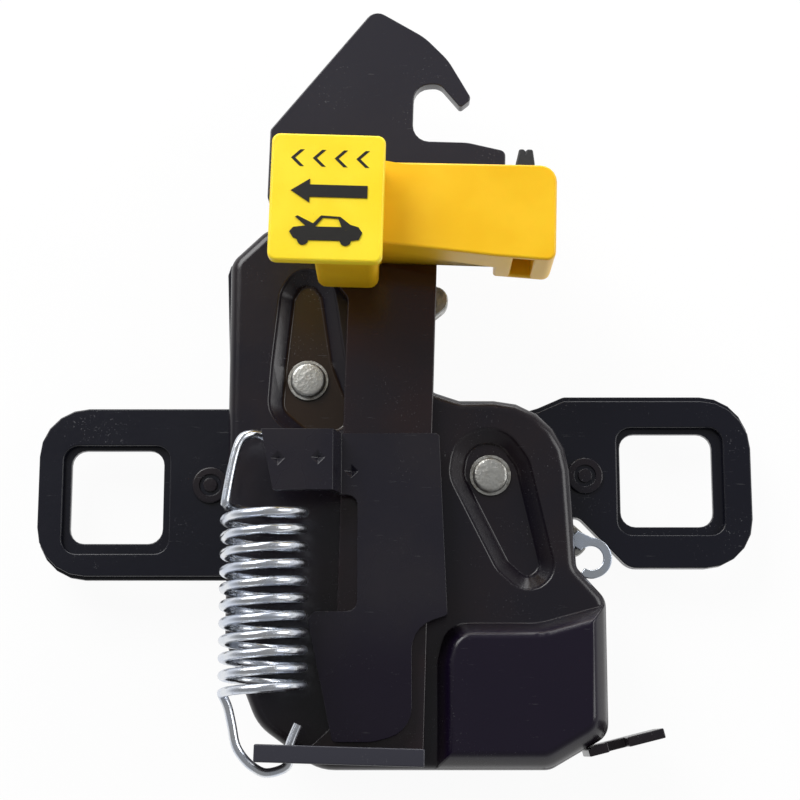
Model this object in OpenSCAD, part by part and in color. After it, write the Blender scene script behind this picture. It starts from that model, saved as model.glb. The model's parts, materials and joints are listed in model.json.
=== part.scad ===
// Bonnet latch with a safety hook, seen from the front: +X right, +Y to the rear, +Z up.
// The origin lies between the two wing openings, on the rear mounting face.

/* [Sheets] */
// Thickness of the back plate and of the housing sheet
sheet_t = 2.5; // [2:0.1:3]
// Distance from the mounting face to the front face of the housing
housing_d = 20.5; // [19:0.1:23]
// Bend radius of the housing rim
rim_r = 3.5; // [2.8:0.1:4.5]
// Height of the raised pad above the housing face
pad_h = 5.5; // [3:0.1:6]
// Depth of the two pressed recesses
recess_h = 4.4; // [3:0.1:4.5]

/* [Housing outline] */
// Left edge of the housing, left of the origin
left_x = 50; // [46:0.5:52]
// Right edge of the housing beside the upper pivot
right_x = 52; // [50:0.5:54]
// Right edge of the lower box
box_x = 63.4; // [60:0.1:68]
// Top of the left tower
top_z = 81; // [79:0.5:86]
// Bottom edge below the origin
bottom_z = 83; // [81:0.5:88]

/* [Wings] */
// Outer end of each wing
wing_x = 109.5; // [105:0.5:116]
// Height of each wing
wing_h = 52; // [48:0.5:56]
// Width of the front sheet's wing opening
opening_w = 33; // [28:0.5:35]
// Corner radius of a wing
wing_r = 15; // [10:0.5:18]
// Corner radius of a wing opening
opening_r = 4.5; // [2:0.5:7]

/* [Safety lever] */
// Thickness of the lever plate
lever_t = 5; // [4:0.1:5.4]
// Width of the lever's strip
strip_w = 26.7; // [24:0.1:27]
// Height of the hook's apex above the lever pivot
hook_top = 208; // [200:1:215]
// How far the bottom flange reaches forward of the lever
flange_reach = 24; // [18:1:28]
// Lean of the lever to the right at rest, in degrees
lever_lean = 1.7; // [1:0.1:1.8]
// Radius of the lever pivot
lever_pin_r = 4; // [3:0.1:4.5]

/* [Handle] */
// Width of the label plate
label_w = 32.5; // [28:0.5:34]
// Height of the label plate
label_h = 37.5; // [34:0.5:42]
// Distance from the mounting face to the label's face
label_d = 66; // [62:0.5:70]
// Distance from the mounting face to the arm's front face
arm_d = 50; // [46:0.5:52]
// Height of the handle's arm at its wide end
arm_h = 28.5; // [24:0.5:29]

/* [Spring] */
// Outer diameter of the tension spring
spring_od = 25.8; // [22:0.1:26]
// Wire diameter of the tension spring
wire_d = 2.7; // [2:0.1:3]
// Number of turns
turns = 11; // [9:1:12]

/* [Pivots] */
// Radius of the ratchet and pawl pivots
pivot_r = 5; // [4:0.1:5.5]
// Radial clearance of the running fits
running_gap = 0.05; // [0.02:0.01:0.09]
// Thickness of the ratchet and of the pawl
claw_t = 6; // [5:0.1:6]

/* [Hidden] */
$fn = 48;

// Shared clearances
over = 1;
side_gap = 0.3;
seat_gap = 0.02;
arc_steps = 5;

// Depths in front of the mounting face
wing_d = sheet_t;
inner_d = housing_d - sheet_t;
pad_d = housing_d + pad_h;
floor_d = housing_d - recess_h;
lever_d = housing_d + side_gap + side_gap / 3;
lever_front_d = lever_d + lever_t;
washer_t = 2.2;
bracket_d = lever_front_d + washer_t;
bracket_front_d = bracket_d + sheet_t;
claw_front_d = floor_d - sheet_t - side_gap;
claw_d = claw_front_d - claw_t;
spring_d = bracket_front_d + 6.6;
tab_d = bracket_front_d + 5.5;

// Places of the pivots, [x, z]
ratchet_c = [-26, 33.6];
pawl_c = [29.3, 4.4];
lever_c = [-5, -60];

// The housing's other outline sizes
tower_in_x = 11;
shoulder_z = 27.2;
shoulder_r = 22.8;
step_x = 54.8;
step_z = -23.5;
box_top_z = -33;
low_left_z = -45;
low_mid = [-40, -70];
low_x = -22;
corner_r = 6;
small_r = 3;
big_r = 15;
tower_slope = [11, 10.5];
low_right = [46, 10];
shoulder_left_x = 20;

// Mouth for the striker
mouth_w = 22;
mouth_x = 1;
mouth_z = 40;

// Wings, [bottom z, top z] of each, and their openings
left_wing_top = 27;
right_wing_top = 29.5;
back_drop = 1;
back_rise = 1.7;
opening_h = 33.5;
left_opening_c = [-85.5, -1.3];
right_opening_c = [85.5, 4.4];
back_opening = [28.6, 29];
back_opening_shift = 1;
right_cut = [72, 57];
right_cut_z = -7;
right_chamfer_x = 53;
right_root_x = 45;
right_root_z = 26;
wing_root = 10;

// Geometry helpers
function unit(v) = v / norm(v);
function corner(p, a, b, r) = r <= 0 ? [p] :
    let (u = unit(a - p), v = unit(b - p), half = acos(u * v) / 2,
        c = p + unit(u + v) * r / sin(half),
        s = p + u * r / tan(half) - c,
        e = p + v * r / tan(half) - c,
        from = atan2(s.y, s.x),
        turn = atan2(e.y, e.x) - from,
        sweep = turn > 180 ? turn - 360 : turn < -180 ? turn + 360 : turn)
    [for (i = [0 : arc_steps]) c + r * [cos(from + sweep * i / arc_steps),
        sin(from + sweep * i / arc_steps)]];
function xy(p) = [p[0], p[1]];
// Points of a polygon whose corners are [x, z, radius]
function rounded(pts) = let (n = len(pts)) [for (i = [0 : n - 1])
    each corner(xy(pts[i]), xy(pts[(i + n - 1) % n]), xy(pts[(i + 1) % n]), pts[i][2])];
// A counter-clockwise outline moved inwards by k
function inset(pts, k) = let (n = len(pts)) [for (i = [0 : n - 1])
    let (a = unit(pts[i] - pts[(i + n - 1) % n]), b = unit(pts[(i + 1) % n] - pts[i]),
        m = [-a.y, a.x] + [-b.y, b.x]) pts[i] + k * m * 2 / (m * m)];
// Outline at several depths, each level [depth, inset], as one closed shell
module loft(pts, levels) {
    n = len(pts);
    m = len(levels);
    rings = [for (l = levels) each [for (p = inset(pts, l[1])) [p.x, -l[0], p.y]]];
    polyhedron(rings, concat([[for (i = [0 : n - 1]) i]],
        [[for (i = [n - 1 : -1 : 0]) (m - 1) * n + i]],
        [for (k = [0 : m - 2]) for (i = [0 : n - 1])
            [k * n + i, (k + 1) * n + i, (k + 1) * n + (i + 1) % n, k * n + (i + 1) % n]]),
        convexity = 8);
}
// A flat shape drawn in X and Z, standing from depth d to depth d + t
module slab(d, t) translate([0, -d, 0]) rotate([90, 0, 0]) linear_extrude(t, convexity = 8) children();
// A round bar along the depth
module bar(c, r, d, t) translate([c.x, -d, c.y]) rotate([90, 0, 0]) cylinder(r = r, h = t);
module block(x0, x1, d0, d1, z0, z1)
    translate([x0, -d1, z0]) cube([x1 - x0, d1 - d0, z1 - z0]);
function box_points(x0, x1, z0, z1, r) =
    rounded([[x0, z0, r], [x1, z0, r], [x1, z1, r], [x0, z1, r]]);
// Levels of a rim bent round with radius r, ending at depth d
function rim(d, r, grown) = [for (a = [0 : 22.5 : 90]) [d - r + r * sin(a), grown + r - r * cos(a)]];

body_pts = rounded([
    [low_x, -bottom_z, big_r], [low_right.x, -bottom_z, corner_r],
    [box_x, -bottom_z + low_right.y, corner_r], [box_x, box_top_z, corner_r],
    [step_x, step_z, small_r], [right_x, shoulder_z, shoulder_r],
    [shoulder_left_x, shoulder_z, small_r], [tower_in_x, shoulder_z + small_r, small_r],
    [tower_in_x, top_z, corner_r], [-left_x + tower_slope.x, top_z, corner_r],
    [-left_x, top_z - tower_slope.y, corner_r], [-left_x, low_left_z, big_r],
    [low_mid.x, low_mid.y, big_r]]);

// Recess outlines on the floor, [x, z, radius] from the pivot
recess_slope = 4.7;
left_recess = [for (p = [[-7.5, -9, 5], [2, -17, 3], [14, -14, 5], [6.8, 5, 14], [3.6, 26, 2.6],
    [1.2, 29.4, 2.6], [-2, 29.4, 2.6], [-4.3, 25.5, 2.6], [-6.6, 4, 8]]) [ratchet_c.x + p[0], ratchet_c.y + p[1], p[2]]];
right_recess = [for (p = [[5, -26, 4], [11, -31.5, 3], [14.5, -28, 3], [7.6, 2.5, 7],
    [2.5, 9.5, 6], [-6.5, 9, 6], [-8, 0, 6]]) [pawl_c.x + p[0], pawl_c.y + p[1], p[2]]];

// The raised pad's foot, and how far its slope steps inwards
pad_slope = 5.2;
pad_left_x = 12.2;
pad_top_z = -39.5;
pad_right_z = -33;
pad_corner_r = 9;
pad_pts = inset(rounded([[pad_left_x, -bottom_z, 0], [low_right.x, -bottom_z, pad_corner_r],
    [box_x, -bottom_z + low_right.y, pad_corner_r], [box_x, pad_right_z - over, 0],
    [low_right.x - small_r, pad_top_z, big_r], [pad_left_x + small_r, pad_top_z, pad_corner_r],
    [pad_left_x, pad_top_z - corner_r * 2, big_r]]), side_gap / 2);

// A recess cut with its slope, grown by k on every side
module recess_cut(pts, k) loft(rounded(pts), [[floor_d - k, -k],
    [floor_d - k + recess_h / 3, -k - recess_slope / 5],
    [housing_d - recess_h / 4 - k, -k - recess_slope * 4 / 5],
    [housing_d + over, -k - recess_slope * 1.15]]);

// The pad rises from inside the housing's rim; k is the sheet's thickness on the inner side
module pad_form(k) loft(pad_pts, [[housing_d - rim_r - k, k], [housing_d - k, k + pad_slope / 8],
    [housing_d - k + pad_h * 0.35, k + pad_slope * 0.32], [pad_d - k - pad_h / 4, k + pad_slope * 0.66],
    [pad_d - k - pad_h / 16, k + pad_slope * 0.86], [pad_d - k, k + pad_slope * 1.1]]);

// The body's solid form: k is 0 for the outside, the sheet's thickness for the inside
module body_form(k) {
    loft(body_pts, concat([[k > 0 ? wing_d - over : wing_d, k]],
        rim(housing_d - k, rim_r - k / 2, k)));
    pad_form(k);
}

module left_wing_pts(drop) polygon(rounded([[-wing_x, left_wing_top - wing_h - drop, wing_r],
    [-left_x + wing_root, left_wing_top - wing_h - drop, 0], [-left_x + wing_root, left_wing_top, 0],
    [-wing_x, left_wing_top, wing_r]]));
module right_wing_pts(rise) polygon(rounded([[right_root_x - wing_root, right_cut_z, 0],
    [right_cut.y, right_cut_z, small_r], [right_cut.x, right_wing_top - wing_h, corner_r],
    [wing_x + over, right_wing_top - wing_h, wing_r], [wing_x + over, right_wing_top + rise, wing_r],
    [right_chamfer_x, right_wing_top + rise, small_r], [right_root_x, right_root_z + rise, small_r],
    [right_root_x - wing_root, right_root_z + rise - small_r, 0]]));
module opening(c, w, h) polygon(box_points(c.x - w / 2, c.x + w / 2, c.y - h / 2, c.y + h / 2,
    opening_r));
module wings(d, drop, rise, shift, w, h) slab(d, sheet_t) difference() {
    union() {
        left_wing_pts(drop);
        right_wing_pts(rise);
    }
    opening(left_opening_c + [0, shift], w, h);
    opening(right_opening_c + [-shift, shift / 2], w, h);
}
mouth_pts = concat([[mouth_x + mouth_w / 2, top_z + over], [mouth_x - mouth_w / 2, top_z + over]],
    [for (a = [180 : 15 : 360]) [mouth_x, mouth_z] + mouth_w / 2 * [cos(a), sin(a)]]);
module mouth(d, t) slab(d, t) polygon(mouth_pts);

// Rivets: shank radius, head radius, head height
rivet_hole_r = pivot_r;
wing_rivet_c = [[-56.4, 3], [59, 5.9]];
wing_rivet_r = 3;
wing_rivet_head_r = 5.6;
wing_rivet_head_h = 1.2;
lobe_window = [30, 70];
hook_window = [45, -36, -3];
hook_window_d = 2;

module pivot_holes(d, t) {
    bar(ratchet_c, rivet_hole_r, d, t);
    bar(pawl_c, rivet_hole_r, d, t);
    bar(lever_c, lever_pin_r, d, t);
}

module front_housing() color([0.05, 0.05, 0.055]) difference() {
    union() {
        difference() {
            union() {
                body_form(0);
                wings(wing_d, 0, 0, 0, opening_w, opening_h);
            }
            recess_cut(left_recess, 0);
            recess_cut(right_recess, 0);
            difference() {
                body_form(sheet_t);
                recess_cut(left_recess, sheet_t);
                recess_cut(right_recess, sheet_t);
            }
        }
    }
    mouth(wing_d - over, housing_d + over);
    pivot_holes(wing_d - over, housing_d + over);
    block(-lobe_window.x, 0, wing_d - over, inner_d - over, lobe_window.y, top_z + over);
    block(hook_window.x, box_x + over, claw_d - hook_window_d, claw_front_d + hook_window_d,
        hook_window.y, hook_window.z);
    for (c = wing_rivet_c) bar(c, wing_rivet_r, wing_d - over, sheet_t + over * 2);
}

// Cable bracket: a flange bent forward from the plate's lower right corner
tab_root = [57.5, -79.2];
tab_len = 23;
tab_tilt = 14;
tab_t = 2.9;
tab_reach = 18;
tab_slot_w = 6;
tab_slot_x = 6;
module cable_tab() difference() {
    translate([tab_root.x, 0, tab_root.y]) rotate([0, -tab_tilt, 0]) difference() {
        block(0, tab_len, 0, sheet_t + tab_reach, 0, tab_t);
        block(tab_slot_x, tab_slot_x + tab_slot_w, sheet_t + tab_reach / 2, sheet_t + tab_reach + over,
            -over, tab_t + over);
    }
    loft(body_pts, [[wing_d, -side_gap], [housing_d + over, -side_gap]]);
}

// Edge of the back plate that shows to the left of the tower
back_lug = [[-left_x + over, 34], [-left_x + over, 75], [-51.5, 73.5], [-52.4, 70.5], [-51.1, 35]];
module back_plate() color([0.05, 0.05, 0.055]) union() {
    difference() {
        union() {
            wings(0, back_drop, back_rise, back_opening_shift, back_opening.x, back_opening.y);
            slab(0, sheet_t) {
                polygon(inset(body_pts, side_gap));
                polygon(back_lug);
            }
        }
        mouth(-over, sheet_t + over * 2);
        pivot_holes(-over, sheet_t + over * 2);
        for (c = wing_rivet_c) bar(c, wing_rivet_r, -over, sheet_t + over * 2);
    }
    cable_tab();
}

// Safety lever, drawn upright about its pivot
strip_left = -12.3;
strip_right = strip_left + strip_w;
hook_left = -38;
hook_low = 147.5;
hook_shoulder = 169.7;
hook_corner_r = 2;
flange_left = -33;
flange_z = -16.5;
throat_left = 5.9;
throat_bottom = 167.4;
throat_top = 185.4;
throat_x = 10.8;
tip = [23.4, 182.5];
arm_right = 34.6;
arm_top = 166;
arm_low = 150;
apex_x = -7.1;
brow = [[16.2, 14], [8.8, 6.8], [0.9, 2.4]];
strip_top = 132;
hook_pts = rounded([[strip_left, flange_z - lever_t, 0], [strip_right, flange_z - lever_t, 0],
    [strip_right, strip_top, small_r], [arm_right, arm_low, small_r],
    [arm_right, arm_top - over, hook_corner_r],
    [throat_x + small_r * 4, throat_bottom, big_r], [throat_left, throat_bottom, 5],
    [throat_left, throat_top, 5], [throat_x + small_r, throat_top + 0.6, 4],
    [tip.x - small_r, tip.y - small_r - over, 1], [tip.x + 0.4, tip.y - over, 1.6],
    [brow[0].x, hook_top - brow[0].y, 20], [brow[1].x, hook_top - brow[1].y, 20],
    [brow[2].x, hook_top - brow[2].y, 12], [apex_x, hook_top + hook_corner_r, 4],
    [hook_left, hook_shoulder, hook_corner_r], [hook_left, hook_low, small_r],
    [strip_left, hook_low - (strip_top - arm_low) * strip_left / arm_right - 24, small_r]]);
flange_hole_x = -24;
flange_hole_r = wire_d / 2 + side_gap;
module lever_frame() translate([lever_c.x, 0, lever_c.y]) rotate([0, lever_lean, 0]) children();
module safety_lever() color([0.06, 0.055, 0.055]) lever_frame() difference() {
    union() {
        slab(lever_d, lever_t) polygon(hook_pts);
        slab(lever_d, lever_t) polygon(rounded([[flange_left, flange_z - lever_t, 0],
            [strip_left + over, flange_z - lever_t, 0], [strip_left + over, flange_z + corner_r, 0],
            [strip_left, flange_z + corner_r, 0], [strip_left - corner_r, flange_z, small_r],
            [flange_left, flange_z, 0]]));
        block(flange_left, strip_right, lever_d, lever_front_d + flange_reach, flange_z - lever_t,
            flange_z);
    }
    bar([0, 0], lever_pin_r + running_gap, lever_d - over, lever_t + over * 2);
    translate([flange_hole_x, -spring_d, flange_z - lever_t - over])
        cylinder(r = flange_hole_r, h = lever_t + over * 2);
}

// Handle: measured from the lever pivot in the lever's own frame
label_c = [-17.8, 136.3];
label_t = 4;
label_r = 2.4;
arm_left_x = -3.9;
arm_right_x = 48.7;
arm_top_z = 152.5;
arm_left_h = 24.3;
arm_rise = 0.5;
arm_near_depth = 9.5;
arm_step_x = 31.4;
arm_corner_r = 5;
arm_depth = arm_d - lever_front_d;
arm_left_depth = 14;
arm_r = 2.6;
handle_wall = 2.4;
post_x = [-21.7, -3.1];
post_low = 120.1;
post_top = label_c.y + label_h / 2 - handle_wall;
label_pts = box_points(label_c.x - label_w / 2, label_c.x + label_w / 2, label_c.y - label_h / 2,
    label_c.y + label_h / 2, label_r);
arm_pts = rounded([[arm_left_x - handle_wall, arm_top_z - arm_left_h, 0],
    [arm_right_x / 2 + corner_r, arm_top_z - arm_h + over, big_r * 2],
    [arm_right_x, arm_top_z - arm_h, arm_r], [arm_right_x, arm_top_z + arm_rise, arm_corner_r],
    [arm_left_x - handle_wall, arm_top_z, 0]]);
slot_x = [36.4, 42.4];
slot_h = 12;
module release_handle() color([1, 0.7, 0.03]) lever_frame() {
    difference() {
        union() {
            slab(lever_front_d + side_gap, arm_depth - side_gap) polygon(arm_pts);
            slab(label_d - label_t, label_t) polygon(label_pts);
            slab(lever_front_d + seat_gap, label_d - label_t / 2 - lever_front_d)
                polygon(box_points(post_x[0], post_x[1], post_low, post_top, small_r));
        }
        // The arm is shallower towards the label
        translate([0, -arm_d + arm_left_depth, 0]) linear_extrude(hook_top)
            polygon([[post_x[1] + side_gap, arm_near_depth - arm_left_depth], [arm_step_x, 0],
                [arm_step_x, arm_depth], [post_x[1] + side_gap, arm_depth]]);
        block(slot_x[0], slot_x[1], lever_front_d + handle_wall, arm_d - handle_wall,
            arm_top_z - arm_h - over, arm_top_z - arm_h + slot_h);
        block(slot_x[1] + handle_wall / 2, arm_right_x - handle_wall, lever_front_d - over,
            arm_d - handle_wall, arm_top_z - arm_h + handle_wall, arm_top_z - handle_wall);
        block(clip_x - clip_w / 2 - side_gap / 2, clip_x + clip_w / 2 + side_gap / 2,
            clip_d - side_gap / 2, clip_d + clip_t + side_gap / 2, arm_top_z - clip_sink,
            arm_top_z + over);
    }
}

// Clip peg that stands out of the arm's top
clip_x = 39.4;
clip_w = 5.6;
clip_t = 4;
clip_d = 44;
clip_h = 5.8;
clip_sink = 3;
clip_pts = [[-0.5, seat_gap - clip_sink], [0.5, seat_gap - clip_sink], [0.5, clip_h / 4],
    [0.38, clip_h], [0.06, clip_h], [0, clip_h * 0.85], [-0.06, clip_h], [-0.34, clip_h],
    [-0.5, clip_h / 4]];
module handle_clip() color([0.05, 0.05, 0.05]) lever_frame() slab(clip_d, clip_t)
    polygon([for (p = clip_pts) [clip_x + p.x * clip_w, arm_top_z + p.y]]);

// Legend: an arrow and a car with its bonnet raised, as shares of the label's size
legend_t = 0.3;
arrow_share = [[-0.315, 0], [-0.152, 0.093], [-0.152, 0.048], [0.353, 0.048], [0.353, -0.048],
    [-0.152, -0.048], [-0.152, -0.093]];
arrow_z_share = 0.045;
car_share = [[-0.282, -0.054], [-0.315, -0.008], [-0.282, 0.027], [-0.176, 0.04], [-0.109, 0.059],
    [-0.042, 0.122], [0.125, 0.115], [0.214, 0.055], [0.286, 0.037], [0.32, -0.006], [0.292, -0.061],
    [0.231, -0.07], [-0.154, -0.073], [-0.243, -0.066]];
lid_share = [[-0.1, 0.055], [-0.249, 0.118], [-0.267, 0.108], [-0.17, 0.036]];
window_share = [[-0.092, 0.034], [-0.026, 0.105], [0.108, 0.101], [0.138, 0.035]];
wheel_share = [-0.196, 0.175];
wheel_r_share = 0.048;
wheel_z_share = -0.069;
car_z_share = -0.27;
function label_points(shares, z_share) = [for (p = shares)
    label_c + [p[0] * label_w, (p[1] + z_share) * label_h]];
module handle_legend() color([0.03, 0.03, 0.03]) lever_frame() slab(label_d + seat_gap, legend_t) {
    polygon(label_points(arrow_share, arrow_z_share));
    difference() {
        polygon(label_points(car_share, car_z_share));
        polygon(label_points(window_share, car_z_share));
    }
    for (s = wheel_share) translate(label_points([[s, wheel_z_share]], car_z_share)[0])
        circle(wheel_r_share * label_w);
    polygon(label_points(lid_share, car_z_share));
}

// Spring bracket over the lever
plate_left = -16;
plate_right = 13.6;
plate_top = 15;
plate_shoulder = -38.6;
window_x = -10.5;
window_z = [-37.5, -3.4];
tongue_x = 5.4;
foot_z = -75;
foot_left = -17.5;
side_x = -25.4;
plate_flare = 2.2;
flange_top = -5;
flange_low = -62;
tongue_r = 9;
tongue_top_z = -42;
foot_mid_x = -6;
edge_r = 1.2;
pin_seat = 1.5;
// Left edge of the plate's lower part at height z
function side_edge(z) = foot_left + (side_x - foot_left) * (z - foot_z) / (window_z[0] - foot_z);
bracket_pts = rounded([[foot_left, foot_z, edge_r], [foot_mid_x, foot_z, big_r],
    [tongue_x, foot_z + small_r, tongue_r], [tongue_x, tongue_top_z, tongue_r],
    [plate_right + plate_flare, plate_shoulder, edge_r], [plate_right, plate_top, edge_r],
    [plate_left, plate_top, 0], [plate_left, window_z[1], 0],
    [window_x, window_z[1], small_r], [window_x, window_z[0], small_r], [side_x, window_z[0], small_r]]);
tab_left = -38.6;
tab_bottom = -3;
tab_slant = 3.7;
bend_w = 0.7;
rib_w = 2;
gusset_size = [2.3, 2.3];
tab_gussets = [[-33.6, 6.3], [-21.9, 6.6]];
plate_gusset = [-12.4, 3.7];
// A pressed diamond in a face at depth d
module gusset(x, z, d) loft([[x - gusset_size.x, z], [x, z - gusset_size.y], [x + gusset_size.x, z],
    [x, z + gusset_size.y]], [[d - sheet_t / 2, gusset_size.x * 0.7], [d + over / 2, -over / 2]]);
module spring_bracket() color([0.055, 0.055, 0.06]) difference() {
    union() {
        slab(bracket_d, sheet_t) polygon(bracket_pts);
        // Raised tab that carries the spring
        slab(tab_d, sheet_t) polygon([[tab_left + tab_slant, tab_bottom], [plate_left - rib_w, tab_bottom],
            [plate_left - rib_w, plate_top], [tab_left, plate_top]]);
        translate([0, 0, tab_bottom]) linear_extrude(plate_top - tab_bottom)
            polygon([[plate_left - rib_w - over, -tab_d - sheet_t], [plate_left - rib_w + over / 2,
                -tab_d - sheet_t], [plate_left + bend_w, -bracket_front_d], [plate_left + bend_w, -bracket_d],
                [plate_left - over, -bracket_d], [plate_left - rib_w - over, -tab_d]]);
        // Right flange: the lever rests against its top
        slab(housing_d, bracket_d - housing_d + over) polygon([[plate_right + plate_flare - sheet_t,
            plate_shoulder], [plate_right + plate_flare, plate_shoulder],
            [plate_right + plate_flare * 0.37, flange_top],
            [plate_right + plate_flare * 0.37 - sheet_t, flange_top]]);
        // Left flange, down to the housing
        slab(housing_d, bracket_d - housing_d + over) polygon([[side_edge(flange_low), flange_low],
            [side_edge(flange_low) + sheet_t, flange_low],
            [side_edge(window_z[0] - small_r) + sheet_t, window_z[0] - small_r],
            [side_edge(window_z[0] - small_r), window_z[0] - small_r]]);
    }
    bar(lever_c, lever_pin_r, bracket_d - over, pin_seat + over);
    for (g = tab_gussets) gusset(g.x, g.y, tab_d + sheet_t);
    gusset(plate_gusset.x, plate_gusset.y, bracket_front_d);
}

// Tension spring: a plain closed sleeve with its two hooked ends
spring_x = -37.2;
spring_top = -7;
spring_pitch = 4.95;
spring_bottom = spring_top - spring_pitch * turns;
spring_r = spring_od / 2;
module wire(a, b) hull() {
    translate(a) sphere(d = wire_d, $fn = 12);
    translate(b) sphere(d = wire_d, $fn = 12);
}
hook_top_z = plate_top + wire_d / 2 + side_gap;
bar_hole_z = lever_c.y + flange_z - lever_t;
module return_spring() color([0.75, 0.76, 0.78]) {
    translate([spring_x, -spring_d, spring_bottom]) difference() {
        cylinder(r = spring_r, h = spring_top - spring_bottom);
        translate([0, 0, -over]) cylinder(r = spring_r - wire_d, h = spring_top - spring_bottom
            + over * 2);
    }
    wire([spring_x - spring_r + wire_d / 2, -spring_d, spring_top - wire_d],
        [spring_x - spring_r + wire_d * 2, -spring_d, hook_top_z]);
    wire([spring_x - spring_r + wire_d * 2, -spring_d, hook_top_z],
        [tab_left + small_r * 2, -spring_d, hook_top_z]);
    wire([spring_x - spring_r + wire_d / 2, -spring_d, spring_bottom + wire_d],
        [spring_x - spring_r + wire_d * 2, -spring_d, bar_hole_z - wire_d * 1.2]);
    wire([spring_x - spring_r + wire_d * 2, -spring_d, bar_hole_z - wire_d * 1.2],
        [lever_c.x + flange_hole_x - 1.4, -spring_d, bar_hole_z - wire_d]);
}

// Rivet heads: a low dome on a round boss
head_r = 5.3;
head_h = 2.6;
head_rim_r = 6.2;
head_rim_t = 0.8;
module dome(c, r, h, d) translate([c.x, -d, c.y]) rotate([90, 0, 0]) rotate_extrude()
    polygon(concat([[0, 0], [r, 0]], [for (a = [0 : 15 : 90]) [(r - h / 2) + h / 2 * cos(a),
        h / 2 + h / 2 * sin(a)]], [[0, h * 1.1]]));
module claw_pivot(c) color([0.5, 0.5, 0.49]) {
    bar(c, pivot_r - seat_gap, 0, floor_d + over / 2);
    bar(c, head_rim_r, floor_d + seat_gap, head_rim_t);
    dome(c, head_r, head_h, floor_d + seat_gap);
}
module ratchet_pivot() claw_pivot(ratchet_c);
module pawl_pivot() claw_pivot(pawl_c);
module lever_pivot() color([0.08, 0.08, 0.08])
    bar(lever_c, lever_pin_r - seat_gap, 0, bracket_d + pin_seat - seat_gap);
module ring(c, r_out, r_in, d, t) difference() {
    bar(c, r_out, d, t);
    bar(c, r_in, d - over, t + over * 2);
}
washer_r = 7.5;
module lever_washer() color([0.5, 0.5, 0.5]) ring(lever_c, washer_r, lever_pin_r + seat_gap,
    lever_front_d + side_gap / 3, washer_t - side_gap / 3 - seat_gap);
module lever_rear_washer() color([0.5, 0.5, 0.5]) ring(lever_c, washer_r, lever_pin_r + seat_gap,
    sheet_t + seat_gap, inner_d - sheet_t - seat_gap * 2);
spacer_r = 8;
module ratchet_spacer() color([0.55, 0.55, 0.55]) ring(ratchet_c, spacer_r, pivot_r + seat_gap,
    sheet_t + seat_gap, claw_d - sheet_t - side_gap);
module pawl_spacer() color([0.55, 0.55, 0.55]) ring(pawl_c, spacer_r, pivot_r + seat_gap,
    sheet_t + seat_gap, claw_d - sheet_t - side_gap);
// Torsion springs round the spacers
coil_wire_r = 0.9;
coil_leg = 16;
coil_leg_angle = 200;
module coil(c) color([0.7, 0.7, 0.7]) {
    translate([c.x, -sheet_t - side_gap / 2, c.y]) rotate([90, 0, 0]) for (k = [0 : 1])
        translate([0, 0, coil_wire_r * (1 + 1.8 * k)]) rotate_extrude()
            translate([spacer_r + coil_wire_r + side_gap, 0]) circle(coil_wire_r, $fn = 16);
    translate([c.x, -sheet_t - side_gap / 2 - coil_wire_r, c.y]) rotate([0, coil_leg_angle, 0])
        translate([spacer_r + coil_wire_r + side_gap, 0, 0]) cylinder(r = coil_wire_r, h = coil_leg, $fn = 16);
}
module ratchet_spring() coil(ratchet_c);
module pawl_spring() coil(pawl_c);

// Ratchet: a fork that holds the striker
lobe_len = 46.5;
lobe_angle = 34.3;
lobe_tip_r = 4.5;
hub_r = 11;
jaw_r = 30;
jaw_angles = [-60, -10];
function polar(r, a) = r * [cos(a), sin(a)];
module ratchet() color([0.45, 0.45, 0.44]) difference() {
    union() {
        bar(ratchet_c, hub_r, claw_d, claw_t);
        slab(claw_d, claw_t) translate(ratchet_c)
            polygon(concat([polar(hub_r * 0.8, lobe_angle + 90)], [for (a = [90 : -15 : -90])
                polar(lobe_len, lobe_angle) + polar(lobe_tip_r, a + lobe_angle)],
                [polar(hub_r * 0.8, lobe_angle - 90)]));
        slab(claw_d, claw_t) translate(ratchet_c)
            polygon(concat([polar(hub_r * 0.8, jaw_angles[0] - 60)],
                [for (a = [jaw_angles[0] : 5 : jaw_angles[1]]) polar(jaw_r, a)],
                [polar(hub_r * 0.8, jaw_angles[1] + 60)]));
    }
    bar(ratchet_c, pivot_r + running_gap, claw_d - over, claw_t + over * 2);
}

// Pawl: its nose rides on the jaw's rim, its tail carries the cable hook
nose_r = 3;
to_pawl = unit(pawl_c - ratchet_c);
nose_c = ratchet_c + to_pawl * (jaw_r + nose_r + side_gap);
tail_c = [54.5, -15.5];
pawl_hub_r = 9.5;
tail_r = 4;
module pawl() color([0.4, 0.4, 0.4]) difference() {
    union() {
        slab(claw_d, claw_t) {
            hull() {
                translate(pawl_c) circle(pawl_hub_r, $fn = 32);
                translate(nose_c) circle(nose_r, $fn = 32);
            }
            hull() {
                translate(pawl_c) circle(pawl_hub_r / 1.5, $fn = 32);
                translate(tail_c) circle(tail_r, $fn = 32);
            }
        }
    }
    bar(pawl_c, pivot_r + running_gap, claw_d - over, claw_t + over * 2);
    bar(tail_c, tail_pin_r + seat_gap, claw_d - over, claw_t + over * 2);
}
// Cable hook: a bent tongue on the pawl's tail
tail_pin_r = 1.8;
hook_c = [59.6, -20.4];
hook_r = 6.2;
hook_w = 2.6;
hook_open = [125, 235];
module cable_hook() color([0.8, 0.8, 0.82]) {
    slab(claw_front_d + seat_gap, 1.4) {
        difference() {
            translate(hook_c) circle(hook_r);
            translate(hook_c) circle(hook_r - hook_w);
            translate(hook_c) polygon([[0, 0], polar(hook_r * 2, hook_open[0]), [-hook_r * 2, 0],
                polar(hook_r * 2, hook_open[1])]);
        }
        polygon([tail_c + [-2.4, 0], tail_c + [2, -2.6], hook_c + polar(hook_r - hook_w / 2, 100),
            hook_c + polar(hook_r - small_r / 10, 80), tail_c + [1, 3.4]]);
    }
    bar(tail_c, tail_pin_r, claw_d, claw_t + seat_gap);
}

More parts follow.
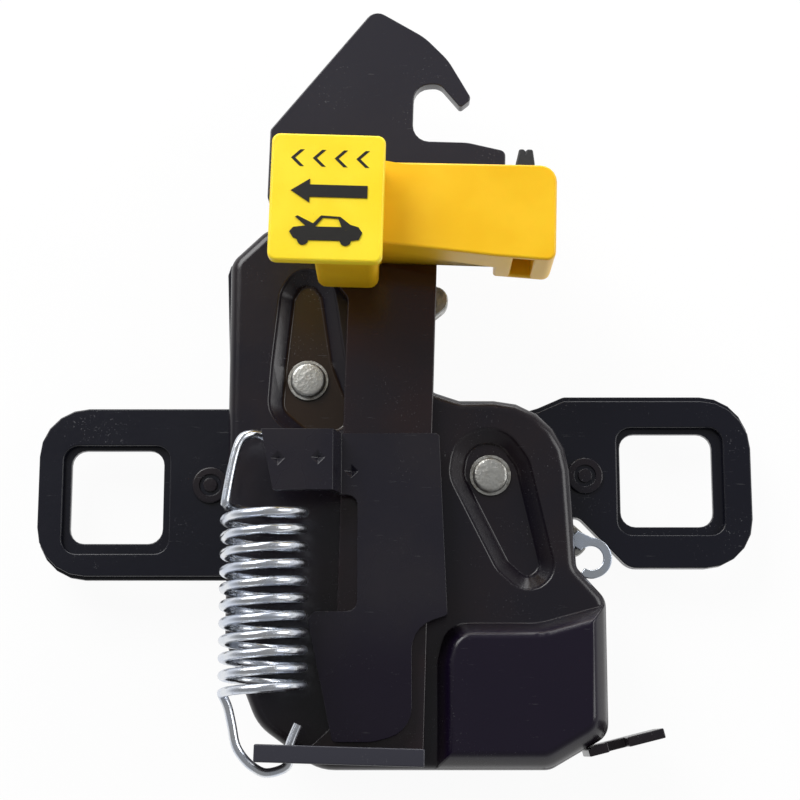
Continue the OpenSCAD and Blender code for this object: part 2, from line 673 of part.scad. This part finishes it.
module wing_rivet(c) color([0.06, 0.06, 0.06]) {
    bar(c, wing_rivet_r - seat_gap, 0, sheet_t * 2 + wing_rivet_head_h / 3);
    difference() {
        dome(c, wing_rivet_head_r, wing_rivet_head_h, sheet_t * 2 + seat_gap);
        ring(c, wing_rivet_head_r * 0.6, wing_rivet_head_r * 0.38, sheet_t * 2
            + wing_rivet_head_h / 2, wing_rivet_head_h);
    }
}
module wing_rivet_left() wing_rivet(wing_rivet_c[0]);
module wing_rivet_right() wing_rivet(wing_rivet_c[1]);
front_housing();
back_plate();
safety_lever();
release_handle();
handle_legend();
handle_clip();
spring_bracket();
return_spring();
lever_pivot();
lever_washer();
lever_rear_washer();
ratchet();
ratchet_pivot();
ratchet_spacer();
ratchet_spring();
pawl();
pawl_pivot();
pawl_spacer();
pawl_spring();
cable_hook();
wing_rivet_left();
wing_rivet_right();
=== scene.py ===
import json
import math

import bpy
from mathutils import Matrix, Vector


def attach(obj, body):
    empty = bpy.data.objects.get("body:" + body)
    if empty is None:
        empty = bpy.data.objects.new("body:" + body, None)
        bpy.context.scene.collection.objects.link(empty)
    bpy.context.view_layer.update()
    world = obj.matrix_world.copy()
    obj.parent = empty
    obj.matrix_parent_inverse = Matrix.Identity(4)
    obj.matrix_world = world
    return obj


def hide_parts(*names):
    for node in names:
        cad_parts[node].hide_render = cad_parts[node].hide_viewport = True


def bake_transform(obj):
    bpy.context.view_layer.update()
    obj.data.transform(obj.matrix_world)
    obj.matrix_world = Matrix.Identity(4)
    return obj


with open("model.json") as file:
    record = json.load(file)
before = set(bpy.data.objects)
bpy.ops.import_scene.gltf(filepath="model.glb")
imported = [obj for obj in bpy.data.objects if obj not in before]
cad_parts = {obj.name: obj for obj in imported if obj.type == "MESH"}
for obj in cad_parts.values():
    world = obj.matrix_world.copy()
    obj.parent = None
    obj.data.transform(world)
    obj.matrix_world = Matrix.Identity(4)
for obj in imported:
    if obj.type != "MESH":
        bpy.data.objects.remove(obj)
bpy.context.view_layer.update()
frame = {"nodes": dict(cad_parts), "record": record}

MM = 0.001
WHITE = (1.0, 1.0, 1.0, 1.0)

# Camera, found from the photograph's perspective
CAMERA_PLACE = Vector((2.0, -567.1, -77.4)) * MM
CAMERA_TILT = math.radians(10.8)
CAMERA_LENS = 82.76
CAMERA_SENSOR = 36.0
CAMERA_NEAR = 0.01

# Each lamp: its name, place, target, width and height in metres, and its watts
LAMPS = [
    ("key_softbox", (-0.55, -0.75, 0.75), (0, 0, 0.02), 0.7, 0.7, 12.0),
    ("fill_softbox", (0.85, -0.6, 0.25), (0, 0, 0), 0.5, 0.8, 5.0),
    ("top_strip", (0.1, -0.15, 0.95), (0, 0, 0), 0.9, 0.25, 4.0),
]
# The room is dimmer on the camera's side of the latch than behind it
ROOM_FRONT, ROOM_REAR = -0.5, 0.35
ROOM_FRONT_LEVEL, ROOM_REAR_LEVEL = 0.28, 1.0

# Backdrop
SHEET_SIZE = 3.0
SHEET_BACK = 0.012
SHEET_GREY = (0.9, 0.9, 0.9, 1.0)
SHEET_GLOW = 0.94

# Places shared by several pieces, in millimetres
LEVER_PIVOT = Vector((-5.0, 0.0, -60.0))
LEVER_LEAN = math.radians(1.7)
LABEL_CENTRE = Vector((-17.8, 0.0, 136.3))
LABEL_DEPTH = 66.0

# Return spring, in millimetres; FOOT_HOOK gives x and z, HEAD_HOOK gives x, z and y from the axis
SPRING_AXIS = Vector((-37.2, -37.2, 0.0))
SPRING_TOP = -7.0
SPRING_BOTTOM = -61.45
SPRING_TURNS = 11
TURN_STEPS = 40
ROUTE_STEPS = 6
WIRE_R = 1.35
WIRE_RESOLUTION = 4
COIL_R = 12.9 - WIRE_R
FOOT_HOOK = [
    (-26.9, -70.1), (-28.2, -73.1), (-29.2, -76.0), (-29.5, -79.0), (-29.9, -81.5), (-32.6, -83.0),
    (-36.4, -83.5), (-40.0, -81.6), (-42.8, -78.8), (-44.7, -75.4), (-45.8, -70.1), (-47.0, -65.3),
]
HEAD_HOOK = [
    (-48.1, -2.7, 0.0), (-46.5, 6.0, 0.0), (-45.0, 11.0, 0.0), (-43.4, 13.0, 0.4),
    (-41.0, 13.8, 1.8), (-38.6, 13.6, 3.4), (-35.0, 12.0, 3.8), (-32.5, 9.0, 3.8),
]

# Chevrons on the label, in millimetres; the first tip is given from the label's centre
CHEVRONS = 4
CHEVRON_X, CHEVRON_Z = -10.6, 11.4
CHEVRON_PITCH = 6.2
CHEVRON_REACH = 2.6
CHEVRON_RISE = 2.5
CHEVRON_STROKE = 1.2
CHEVRON_SINK = 0.05
CHEVRON_WALL = 0.25

# Broken edges and shading of the dressed nodes
SHARP_ANGLE = math.radians(36)
FLAT_ANGLE = math.radians(0.6)
MERGE = 0.004 * MM
EDGE_SEGMENTS = 2


def only(obj):
    """Selects one object alone and makes it active."""
    bpy.ops.object.select_all(action="DESELECT")
    obj.select_set(True)
    bpy.context.view_layer.objects.active = obj


def apply_all(obj):
    """Applies every modifier on a piece, in order."""
    only(obj)
    for modifier in list(obj.modifiers):
        bpy.ops.object.modifier_apply(modifier=modifier.name)


def edit(obj, *steps):
    """Runs mesh operators on the whole of a piece, each given with its settings."""
    only(obj)
    bpy.ops.object.mode_set(mode="EDIT")
    bpy.ops.mesh.select_all(action="SELECT")
    for operator, settings in steps:
        operator(**settings)
    bpy.ops.object.mode_set(mode="OBJECT")


def turn_faces_out(obj):
    edit(obj, (bpy.ops.mesh.normals_make_consistent, {"inside": False}))


def smooth(obj):
    """Shades a piece smooth, apart from its sharp edges."""
    only(obj)
    bpy.ops.object.shade_smooth_by_angle(angle=SHARP_ANGLE)


def on_lever(x, depth, z):
    """A point given in the upright lever's own frame, in metres in the shared frame."""
    c, s = math.cos(LEVER_LEAN), math.sin(LEVER_LEAN)
    return Vector((LEVER_PIVOT.x + x * c + z * s, -depth, LEVER_PIVOT.z - x * s + z * c)) * MM


class Field:
    """A node's output that takes part in plain arithmetic."""

    def __init__(self, nodes, socket):
        self.nodes = nodes
        self.socket = socket

    def _math(self, operation, other):
        return self.nodes.add("ShaderNodeMath", {"operation": operation}, {0: self, 1: other})

    def __add__(self, other):
        return self._math("ADD", other)

    def __sub__(self, other):
        return self._math("SUBTRACT", other)

    def __mul__(self, other):
        return self._math("MULTIPLY", other)

    def __lt__(self, other):
        return self._math("LESS_THAN", other)

    def larger(self, other):
        return self._math("MAXIMUM", other)

    def above(self, low, high, least=0.0, most=1.0):
        """The least value below low, the most above high, smooth between."""
        return self.nodes.add("ShaderNodeMapRange", {"interpolation_type": "SMOOTHSTEP"},
                              {"Value": self, "From Min": low, "From Max": high,
                               "To Min": least, "To Max": most})


class Nodes:
    """A shader tree that is built up node by node."""

    def __init__(self, tree):
        self.tree = tree

    def feed(self, socket, value):
        """Links a field to a socket, or sets a plain value there."""
        if isinstance(value, Field):
            self.tree.links.new(value.socket, socket)
        else:
            socket.default_value = value

    def add(self, kind, settings, values, out=0):
        """Adds a node with its settings and inputs, and gives one of its outputs."""
        node = self.tree.nodes.new(kind)
        for name, value in settings.items():
            setattr(node, name, value)
        for key, value in values.items():
            self.feed(node.inputs[key], value)
        return Field(self, node.outputs[out])


class Paint(Nodes):
    """One procedural material and its nodes."""

    def __init__(self, name, **sockets):
        self.material = bpy.data.materials.new(name)
        self.material.use_nodes = True
        super().__init__(self.material.node_tree)
        self.shader = self.tree.nodes["Principled BSDF"]
        self.set(**sockets)
        self.place = self.add("ShaderNodeTexCoord", {}, {}, "Object")

    def set(self, **sockets):
        """Sets or links the shader's sockets; an underscore stands for a space."""
        for name, value in sockets.items():
            self.feed(self.shader.inputs[name.replace("_", " ")], value)

    def noise(self, scale, detail=2.0, rough=0.5, stretch=None):
        place = self.place
        if stretch:
            place = self.add("ShaderNodeMapping", {}, {"Vector": place, "Scale": stretch})
        return self.add("ShaderNodeTexNoise", {}, {"Vector": place, "Scale": scale,
                                                   "Detail": detail, "Roughness": rough})

    def cells(self, scale):
        return self.add("ShaderNodeTexVoronoi", {}, {"Vector": self.place, "Scale": scale})

    def mix(self, factor, first, second):
        """Blends two colours; either may be a field."""
        node = self.tree.nodes.new("ShaderNodeMix")
        node.data_type = "RGBA"
        self.feed(node.inputs["Factor"], factor)
        for key, value in (("A", first), ("B", second)):
            socket = [s for s in node.inputs if s.name == key and s.type == "RGBA"][0]
            self.feed(socket, value if isinstance(value, Field) else (*value, 1.0))
        return Field(self, [s for s in node.outputs if s.type == "RGBA"][0])

    def axis(self, name):
        return self.add("ShaderNodeSeparateXYZ", {}, {"Vector": self.place}, name)

    def bump(self, height, strength, distance):
        self.set(Normal=self.add("ShaderNodeBump", {}, {"Height": height, "Strength": strength,
                                                        "Distance": distance}))


def black_coat(name, cold, warm, gloss, regions):
    """Black dip coat: a faint tint, dust specks, scuffs and a slight orange peel.

    Each region is its bands and its colour; on the lever these colours are a painted reflection
    and painted highlights. It holds where all its bands overlap.
    """
    scuffed, dusty = (0.05, 0.05, 0.055), (0.13, 0.13, 0.14)
    paint = Paint(name, Specular_IOR_Level=0.42, IOR=1.5)
    patches = paint.noise(42.0, detail=3.0)
    dust = (paint.noise(1500.0, rough=0.6).above(0.64, 0.72)
            * paint.noise(60.0, detail=4.0, rough=0.6).above(0.5, 0.66))
    scuffs = paint.noise(110.0, detail=5.0, rough=0.7, stretch=(1.0, 1.0, 9.0)).above(0.66, 0.7)
    tone_and_painted_light = paint.mix(patches.above(0.35, 0.7), cold, warm)
    for bands, colour in regions:
        share = 1.0
        for axis, in_low, in_high, out_low, out_high in bands:
            place = paint.axis(axis)
            share = (place.above(in_low, in_high) - place.above(out_low, out_high)) * share
        # Each region's colour is laid over the tone; on the lever these are a painted reflection
        # and painted highlights
        tone_and_painted_light = paint.mix(share, tone_and_painted_light, colour)
    worn_and_painted_light = paint.mix(scuffs * 0.35, tone_and_painted_light, scuffed)
    paint.set(Base_Color=paint.mix(dust * 0.4, worn_and_painted_light, dusty))
    paint.set(Roughness=patches * 0.1 + scuffs * 0.14 + dust * 0.2 + gloss)
    paint.bump(paint.noise(420.0), strength=0.16, distance=0.0002)
    return paint.material


def yellow_plastic():
    """Amber moulded arm, with the thin label plate a lighter lemon yellow."""
    label_rear = -0.0612
    amber, light_amber = (0.84, 0.48, 0.003), (0.9, 0.54, 0.006)
    lemon, light_lemon = (0.94, 0.69, 0.014), (0.96, 0.74, 0.022)
    ochre = (0.5, 0.3, 0.02)
    paint = Paint("yellow_plastic", Specular_IOR_Level=0.45, IOR=1.46, Subsurface_Weight=0.12,
                  Subsurface_Scale=0.002)
    plate = paint.axis("Y") < label_rear
    clouds = paint.noise(60.0, detail=3.0).above(0.3, 0.75)
    arm = paint.mix(clouds, amber, light_amber)
    label = paint.mix(clouds, lemon, light_lemon)
    specks = paint.noise(2600.0, detail=1.0).above(0.72, 0.78)
    paint.set(Base_Color=paint.mix(specks * 0.25, paint.mix(plate, arm, label), ochre))
    paint.set(Roughness=clouds * 0.08 + paint.noise(900.0, detail=3.0) * 0.12 + 0.3)
    paint.bump(paint.noise(1400.0, detail=3.0), strength=0.08, distance=0.0002)
    return paint.material


def zinc(name, base):
    """Bright plated wire: cloudy passivation, small dull pits and a fine grain."""
    clouded = (base[0] * 0.82, base[1] * 0.86, base[2] * 0.95)
    dull = (0.3, 0.3, 0.31)
    paint = Paint(name, Metallic=1.0)
    clouds = paint.noise(160.0, detail=4.0).above(0.35, 0.7)
    pits = paint.noise(2200.0).above(0.66, 0.74)
    paint.set(Base_Color=paint.mix(pits * 0.6, paint.mix(clouds, base, clouded), dull))
    paint.set(Roughness=clouds * 0.12 + pits * 0.25 + 0.2)
    paint.bump(paint.noise(1800.0, detail=3.0), strength=0.12, distance=0.0001)
    return paint.material


def raw_steel():
    """Uncoated rivet steel: hammered, scratched and slightly brown."""
    grey, stained, bright = (0.43, 0.43, 0.41), (0.2, 0.19, 0.17), (0.66, 0.66, 0.65)
    paint = Paint("raw_steel", Metallic=1.0)
    stain = paint.noise(240.0, detail=5.0, rough=0.65).above(0.4, 0.66)
    hammered = paint.cells(900.0)
    scratches = paint.noise(300.0, detail=4.0, rough=0.7, stretch=(1.0, 1.0, 6.0)).above(0.6, 0.66)
    paint.set(Base_Color=paint.mix(scratches * 0.5, paint.mix(stain, grey, stained), bright))
    paint.set(Roughness=stain * 0.18 + 0.4)
    paint.bump(hammered + paint.noise(1600.0, detail=3.0) * 0.8, strength=0.17, distance=0.0004)
    return paint.material


def legend_ink():
    """Black print with small worn spots."""
    black, worn_and_painted_light = (0.012, 0.011, 0.01), (0.2, 0.14, 0.01)
    paint = Paint("legend_ink", Specular_IOR_Level=0.3)
    wear = paint.noise(1800.0, detail=3.0, rough=0.6).above(0.68, 0.75)
    paint.set(Base_Color=paint.mix(wear * 0.4, black, worn_and_painted_light))
    paint.set(Roughness=paint.noise(700.0) * 0.15 + 0.36)
    paint.bump(paint.noise(1500.0), strength=0.08, distance=0.0001)
    return paint.material


def clip_plastic():
    """Fine-grained black plastic."""
    black, light = (0.012, 0.012, 0.013), (0.03, 0.03, 0.032)
    paint = Paint("clip_plastic", Specular_IOR_Level=0.4)
    grain = paint.noise(1700.0, detail=3.0)
    paint.set(Base_Color=paint.mix(grain, black, light))
    paint.set(Roughness=grain * 0.2 + 0.4)
    paint.bump(grain, strength=0.12, distance=0.0002)
    return paint.material


# Bands in which a black coat changes its colour. Below the handle the colour is a painted
# reflection of the amber handle, and on the safety hook and the foot flange's front face it is a
# painted highlight.
# Each is an axis and four places on it, in metres: the colour fades in between the first two, and
# out between the last two
RECESS_FLOORS = ("Y", -0.0172, -0.0165, -0.0155, -0.0145)
LEFT_HALF = ("X", -0.06, -0.05, -0.01, 0.0)
WINGS = ("Y", -0.0062, -0.0056, 0.01, 0.02)
RAISED_BOX = ("Y", -0.03, -0.028, -0.0252, -0.0225)
# Painted reflection: the amber handle's brown reflection on the safety lever just below it
HANDLE_REFLECTION_BAND = ("Z", 0.03, 0.066, 0.078, 0.09)
# Painted highlight: a lighter grey over the top of the safety hook
SAFETY_HOOK_HIGHLIGHT_BAND = ("Z", 0.085, 0.1, 0.2, 0.21)
# Painted highlight: a lighter blue-grey band on the front face of the foot flange
FOOT_FLANGE_HIGHLIGHT_BAND = ("Y", -0.0515, -0.0505, -0.0494, -0.0488)
TONGUE = ("Z", -0.2, -0.1, -0.058, -0.03)

HOUSING_COAT = black_coat("housing_coat", (0.0065, 0.0055, 0.010), (0.010, 0.0065, 0.009), 0.2, [
    ([RECESS_FLOORS, LEFT_HALF], (0.020, 0.011, 0.006)),
    ([WINGS], (0.0025, 0.0028, 0.008)),
    ([RAISED_BOX], (0.0045, 0.0018, 0.0105))])
# The lever's coat carries painted light: a brown painted reflection below the handle, and painted
# highlights on the safety hook and the foot flange
LEVER_COAT_AND_PAINTED_LIGHT = black_coat("lever_coat_and_painted_light", (0.012, 0.009, 0.0125), (0.017, 0.009, 0.0105), 0.16, [
    ([HANDLE_REFLECTION_BAND], (0.022, 0.0055, 0.002)),
    ([SAFETY_HOOK_HIGHLIGHT_BAND], (0.020, 0.019, 0.026)),
    ([FOOT_FLANGE_HIGHLIGHT_BAND], (0.032, 0.032, 0.043))])
BRACKET_COAT = black_coat("bracket_coat", (0.009, 0.008, 0.014), (0.0125, 0.0105, 0.015), 0.22, [
    ([TONGUE], (0.0038, 0.0015, 0.0085))])
YELLOW = yellow_plastic()
ZINC = zinc("zinc_wire", (0.74, 0.76, 0.79))
ZINC_HOOK = zinc("zinc_hook", (0.68, 0.73, 0.8))
STEEL = raw_steel()
INK = legend_ink()
CLIP = clip_plastic()

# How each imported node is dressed: its finish, and the width of its broken edges in millimetres
DRESSING = {
    "front_housing": (HOUSING_COAT, 0.45),
    "back_plate": (HOUSING_COAT, 0.35),
    "safety_lever": (LEVER_COAT_AND_PAINTED_LIGHT, 0.45),
    "release_handle": (YELLOW, 0.8),
    "handle_clip": (CLIP, 0.5),
    "spring_bracket": (BRACKET_COAT, 0.15),
    "lever_pivot": (BRACKET_COAT, 0.2),
    "lever_washer": (STEEL, 0.15),
    "lever_rear_washer": (STEEL, 0.2),
    "ratchet": (STEEL, 0.5),
    "ratchet_pivot": (STEEL, 0.15),
    "ratchet_spacer": (STEEL, 0.2),
    "pawl": (STEEL, 0.5),
    "pawl_pivot": (STEEL, 0.15),
    "pawl_spacer": (STEEL, 0.2),
    "cable_hook": (ZINC_HOOK, 0.3),
    "wing_rivet_left": (HOUSING_COAT, 0.15),
    "wing_rivet_right": (HOUSING_COAT, 0.15),
}
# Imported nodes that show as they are, and their finish
PLAIN = {"ratchet_spring": ZINC, "pawl_spring": ZINC, "handle_legend": INK}


def body_of(node):
    for body, members in frame["record"]["behaviour"]["bodies"].items():
        if node in members:
            return body
    raise ValueError(node)


def dressed(node, finish, width):
    """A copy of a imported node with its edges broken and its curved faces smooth."""
    source = frame["nodes"][node]
    piece = source.copy()
    piece.data = source.data.copy()
    piece.name = node + "_finished"
    piece.parent = None
    for key in list(piece.keys()):
        del piece[key]
    bpy.context.scene.collection.objects.link(piece)
    edit(piece, (bpy.ops.mesh.remove_doubles, {"threshold": MERGE}),
         (bpy.ops.mesh.dissolve_limited, {"angle_limit": FLAT_ANGLE}))
    bevel = piece.modifiers.new("edges", "BEVEL")
    bevel.width = width * MM
    bevel.segments = EDGE_SEGMENTS
    bevel.limit_method = "ANGLE"
    bevel.angle_limit = SHARP_ANGLE
    bevel.use_clamp_overlap = False
    bevel.loop_slide = False
    apply_all(piece)
    smooth(piece)
    weighted = piece.modifiers.new("normals", "WEIGHTED_NORMAL")
    weighted.keep_sharp = True
    apply_all(piece)
    piece.data.materials.clear()
    piece.data.materials.append(finish)
    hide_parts(node)
    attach(piece, body_of(node))


def dress_nodes():
    for node, (finish, width) in DRESSING.items():
        dressed(node, finish, width)
    for node, finish in PLAIN.items():
        frame["nodes"][node].data.materials.clear()
        frame["nodes"][node].data.materials.append(finish)


def tube(name, points, radius, finish):
    """A round wire along points given in millimetres."""
    curve = bpy.data.curves.new(name, "CURVE")
    curve.dimensions = "3D"
    curve.bevel_depth = radius * MM
    curve.bevel_resolution = WIRE_RESOLUTION
    curve.use_fill_caps = True
    spline = curve.splines.new("POLY")
    spline.points.add(len(points) - 1)
    for place, point in zip(spline.points, points):
        place.co = (*(Vector(point) * MM), 1.0)
    wire = bpy.data.objects.new(name, curve)
    bpy.context.scene.collection.objects.link(wire)
    only(wire)
    bpy.ops.object.convert(target="MESH")
    wire = bpy.context.view_layer.objects.active
    turn_faces_out(wire)
    smooth(wire)
    wire.data.materials.append(finish)
    return wire


def rounded_route(corners):
    """A smooth route that starts and ends at the first and last of its corners."""
    ends = [corners[0] * 2 - corners[1]] + corners + [corners[-1] * 2 - corners[-2]]
    route = []
    for a, b, c, d in zip(ends, ends[1:], ends[2:], ends[3:]):
        for i in range(ROUTE_STEPS):
            t = i / ROUTE_STEPS
            route.append(0.5 * ((2 * b) + (c - a) * t + (2 * a - 5 * b + 4 * c - d) * t * t
                                + (3 * b - a - 3 * c + d) * t * t * t))
    return route + [corners[-1]]


def return_spring():
    """The tension spring: a hook over the bracket's tab, the coils and a hook under the foot."""
    depth = SPRING_AXIS.y
    coils = []
    steps = SPRING_TURNS * TURN_STEPS
    for i in range(steps + 1):
        turn = math.pi + 2 * math.pi * i / TURN_STEPS
        coils.append(Vector((SPRING_AXIS.x + COIL_R * math.cos(turn),
                             depth + COIL_R * math.sin(turn),
                             SPRING_BOTTOM + (SPRING_TOP - SPRING_BOTTOM) * i / steps)))
    lower = rounded_route([Vector((x, depth, z)) for x, z in FOOT_HOOK] + [coils[0]])
    upper = rounded_route([coils[-1]] + [Vector((x, depth + y, z)) for x, z, y in HEAD_HOOK])
    spring = tube("return_spring_wire", lower[:-1] + coils + upper[1:], WIRE_R, ZINC)
    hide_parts("return_spring")
    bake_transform(spring)


def label_chevrons():
    """Plain chevrons in the label's upper field."""
    z = LABEL_CENTRE.z + CHEVRON_Z
    for number in range(CHEVRONS):
        x = LABEL_CENTRE.x + CHEVRON_X + number * CHEVRON_PITCH
        far = x + CHEVRON_REACH
        corners = [(far, z + CHEVRON_RISE), (x, z), (far, z - CHEVRON_RISE),
                   (far + CHEVRON_STROKE, z - CHEVRON_RISE), (x + CHEVRON_STROKE, z),
                   (far + CHEVRON_STROKE, z + CHEVRON_RISE)]
        name = f"label_chevron_{number + 1}"
        mesh = bpy.data.meshes.new(name)
        mesh.from_pydata([on_lever(cx, LABEL_DEPTH - CHEVRON_SINK, cz) for cx, cz in corners], [],
                         [(0, 1, 4, 5), (1, 2, 3, 4)])
        piece = bpy.data.objects.new(name, mesh)
        bpy.context.scene.collection.objects.link(piece)
        wall = piece.modifiers.new("wall", "SOLIDIFY")
        wall.thickness = CHEVRON_WALL * MM
        wall.offset = 0
        apply_all(piece)
        turn_faces_out(piece)
        piece.data.materials.append(INK)
        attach(piece, "lever")


def camera():
    data = bpy.data.cameras.new("camera")
    data.lens = CAMERA_LENS
    data.sensor_width = CAMERA_SENSOR
    data.clip_start = CAMERA_NEAR
    obj = bpy.data.objects.new("camera", data)
    obj.location = CAMERA_PLACE
    obj.rotation_euler = (math.radians(90) + CAMERA_TILT, 0, 0)
    bpy.context.scene.collection.objects.link(obj)
    bpy.context.scene.camera = obj


def lamp(name, place, target, width, height, watts):
    data = bpy.data.lights.new(name, "AREA")
    data.shape = "RECTANGLE"
    data.size = width
    data.size_y = height
    data.energy = watts
    obj = bpy.data.objects.new(name, data)
    obj.location = place
    obj.rotation_euler = (Vector(target) - Vector(place)).to_track_quat("-Z", "Y").to_euler()
    bpy.context.scene.collection.objects.link(obj)


def studio():
    """The lamps, and a room that the camera sees white and the latch sees dimmer in front."""
    for settings in LAMPS:
        lamp(*settings)
    world = bpy.data.worlds.new("studio")
    bpy.context.scene.world = world
    world.use_nodes = True
    nodes = Nodes(world.node_tree)
    seen = nodes.add("ShaderNodeLightPath", {}, {}, "Is Camera Ray").larger(
        nodes.add("ShaderNodeLightPath", {}, {}, "Is Transmission Ray"))
    place = nodes.add("ShaderNodeTexCoord", {}, {}, "Generated")
    room = nodes.add("ShaderNodeSeparateXYZ", {}, {0: place}, "Y").above(
        ROOM_FRONT, ROOM_REAR, ROOM_FRONT_LEVEL, ROOM_REAR_LEVEL)
    level = nodes.add("ShaderNodeMix", {"data_type": "FLOAT"}, {"Factor": seen, 2: room, 3: 1.0})
    back = world.node_tree.nodes["Background"]
    nodes.feed(back.inputs["Strength"], level)
    nodes.feed(back.inputs["Color"], WHITE)


def backdrop():
    """A pale sheet close behind the latch that shows its soft shadow, clear from the rear."""
    bpy.ops.mesh.primitive_plane_add(size=SHEET_SIZE, location=(0, SHEET_BACK, 0),
                                     rotation=(math.radians(90), 0, 0))
    sheet = bpy.context.view_layer.objects.active
    sheet.name = "pale_backdrop"
    paint = Paint("pale_backdrop", Base_Color=SHEET_GREY, Roughness=0.9, Specular_IOR_Level=0.0)
    pale = Field(paint, paint.shader.outputs[0])
    glow = paint.add("ShaderNodeEmission", {}, {"Strength": 1.0})
    front = paint.add("ShaderNodeMixShader", {}, {0: SHEET_GLOW, 1: pale, 2: glow})
    clear = paint.add("ShaderNodeBsdfTransparent", {}, {})
    from_rear = paint.add("ShaderNodeNewGeometry", {}, {}, "Backfacing")
    both = paint.add("ShaderNodeMixShader", {}, {0: from_rear, 1: front, 2: clear})
    paint.feed(paint.tree.nodes["Material Output"].inputs["Surface"], both)
    sheet.data.materials.append(paint.material)
    sheet.visible_diffuse = False
    sheet.visible_shadow = False


camera()
studio()
backdrop()
dress_nodes()
return_spring()
label_chevrons()
bpy.context.scene.view_settings.view_transform = "Standard"
